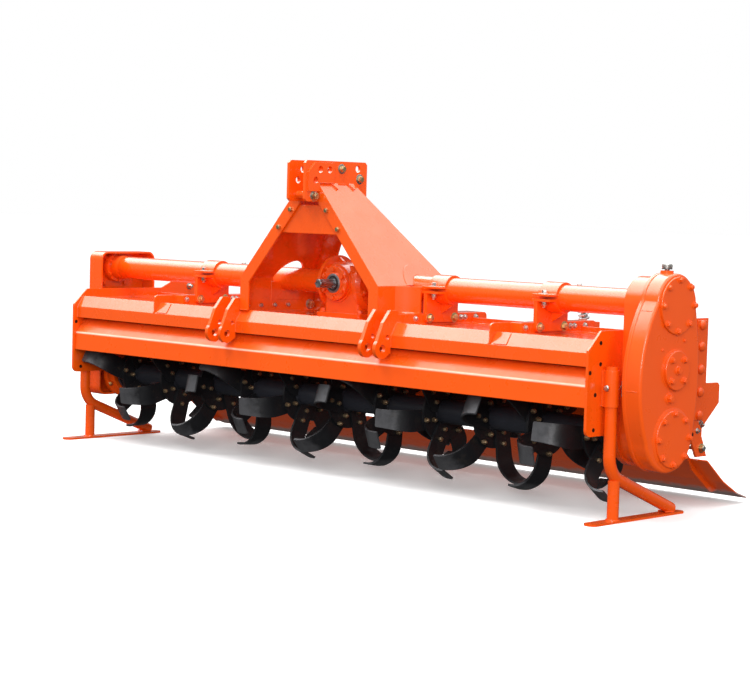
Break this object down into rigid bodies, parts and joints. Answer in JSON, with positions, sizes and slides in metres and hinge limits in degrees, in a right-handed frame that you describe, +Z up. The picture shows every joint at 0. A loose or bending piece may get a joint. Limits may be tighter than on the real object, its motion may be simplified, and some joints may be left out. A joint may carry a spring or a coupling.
{
  "type": "rotary tiller",
  "caption": "Three-point-hitch rotary tiller: A-frame mast, tube-braced hood, side gear case, rotor of bent blades, sprung rear board and two drop stands.",
  "frame": {"origin": "tip of the input shaft, on the hitch centreline", "axes": "+X across the machine towards the gear case, +Y to the rear, +Z up; -Y is the way the drive shaft leaves"},
  "size_m": [2.968, 0.964, 1.185],
  "materials": {
    "orange_paint": "gloss powder coat",
    "black_paint": "semi-gloss paint, worn at the edges",
    "bare_steel": "machined",
    "zinc_steel": "zinc plated"
  },
  "bodies": {
    "frame": {"hood_deck": "orange_paint", "front_skirt": "orange_paint", "end_plate_left": "orange_paint", "end_plate_right": "orange_paint", "left_end_bracket": "orange_paint", "rotor_bearing_left": "orange_paint", "rotor_bearing_right": "orange_paint", "cross_tube_left": "orange_paint", "cross_tube_right": "orange_paint", "gear_case": "orange_paint", "gear_case_cover_upper": "orange_paint", "gear_case_cover_middle": "orange_paint", "gear_case_cover_lower": "orange_paint", "breather": "zinc_steel", "gearbox": "orange_paint", "input_bearing_cover": "orange_paint", "deck_rib_left": "orange_paint", "deck_rib_inner": "orange_paint", "deck_rib_outer": "orange_paint", "deck_rib_mast": "orange_paint", "tube_clamp_left": "orange_paint", "tube_clamp_inner": "orange_paint", "tube_clamp_outer": "orange_paint", "clamp_strap_left": "orange_paint", "clamp_strap_inner": "orange_paint", "clamp_strap_outer": "orange_paint", "mast_panel_left": "orange_paint", "mast_panel_right": "orange_paint", "mast_cross_plate": "orange_paint", "mast_rear_frame": "orange_paint", "hitch_ear_left": "orange_paint", "hitch_ear_right": "orange_paint", "ear_spacer": "orange_paint", "lower_clevis_left": "orange_paint", "lower_clevis_right": "orange_paint", "stand_sleeve_left": "orange_paint", "stand_sleeve_right": "orange_paint", "hinge_rod": "zinc_steel", "spring_bracket_left": "orange_paint", "spring_bracket_right": "orange_paint"},
    "rotor": {"rotor_tube": "black_paint", "tine_set_01": "black_paint", "tine_set_02": "black_paint", "tine_set_03": "black_paint", "tine_set_04": "black_paint", "tine_set_05": "black_paint", "tine_set_06": "black_paint", "tine_set_07": "black_paint", "tine_set_08": "black_paint", "tine_set_09": "black_paint", "tine_set_10": "black_paint", "tine_set_11": "black_paint"},
    "input": {"input_shaft": "bare_steel"},
    "board": {"trailing_board": "orange_paint"},
    "spring_rod_unit_left": {"spring_rod_left": "zinc_steel", "spring_left": "zinc_steel"},
    "spring_rod_unit_right": {"spring_rod_right": "zinc_steel", "spring_right": "zinc_steel"},
    "parking_stand_left": {"stand_left": "orange_paint"},
    "parking_stand_right": {"stand_right": "orange_paint"}
  },
  "joints": [
    {"name": "rotor_spin", "type": "hinge", "parent": "frame", "child": "rotor", "pos_m": [0, 0.182, -0.445], "axis": [1, 0, 0], "continuous": true},
    {"name": "input_spin", "type": "hinge", "parent": "frame", "child": "input", "pos_m": [0, 0, 0], "axis": [0, -1, 0], "continuous": true},
    {"name": "board_swing", "type": "hinge", "parent": "frame", "child": "board", "pos_m": [0, 0.568, -0.517], "axis": [1, 0, 0], "range_deg": [0, 35]},
    {"name": "rod_pivot_left", "type": "hinge", "parent": "board", "child": "spring_rod_unit_left", "pos_m": [-0.93, 0.648, -0.582], "axis": [1, 0, 0], "range_deg": [-31, 1]},
    {"name": "rod_pivot_right", "type": "hinge", "parent": "board", "child": "spring_rod_unit_right", "pos_m": [0.87, 0.648, -0.582], "axis": [1, 0, 0], "range_deg": [-31, 1]},
    {"name": "stand_slide_left", "type": "slide", "parent": "frame", "child": "parking_stand_left", "axis": [0, 0, -1], "range_m": [0, 0.1]},
    {"name": "stand_slide_right", "type": "slide", "parent": "frame", "child": "parking_stand_right", "axis": [0, 0, -1], "range_m": [0, 0.1]}
  ],
  "couplings": [
    {"joint": "input_spin", "follows": "rotor_spin", "ratio": 2.35},
    {"joint": "rod_pivot_left", "follows": "board_swing", "ratio": -0.8643},
    {"joint": "rod_pivot_right", "follows": "board_swing", "ratio": -0.8643}
  ]
}
